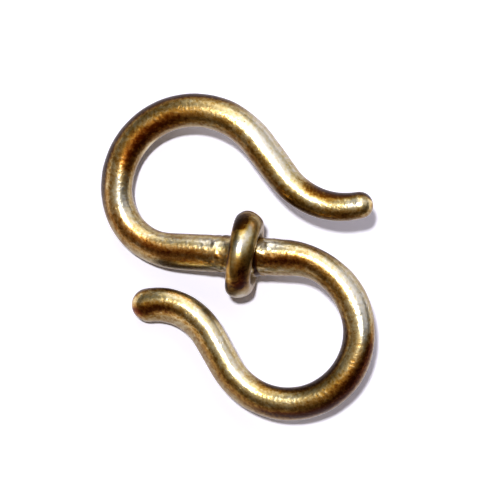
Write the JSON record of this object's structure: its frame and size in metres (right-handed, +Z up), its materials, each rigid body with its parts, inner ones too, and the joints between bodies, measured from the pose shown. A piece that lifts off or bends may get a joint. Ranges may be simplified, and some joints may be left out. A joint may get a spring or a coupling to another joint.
{
  "type": "jewelry s hook clasp",
  "caption": "S-shaped hook of round brass wire with a small closed ring gripping the middle of its bar; each open loop takes a jump ring to close a necklace or bracelet.",
  "frame": {"origin": "on the table, under the middle of the outline seen from above, with the hook lying as it comes to rest", "axes": "+X along the bar towards the lower loop, seen from above; +Z up from the table; the upper loop is on the +Y side"},
  "size_m": [0.0176, 0.02, 0.0055],
  "materials": {
    "antique_brass_wire": "satin, cast-like grain with brown patina in the hollows",
    "ring_brass": "smooth, olive-brown patina, polished on top"
  },
  "bodies": {
    "root": {"s_wire": "antique_brass_wire", "centre_ring": "ring_brass"}
  },
  "joints": []
}
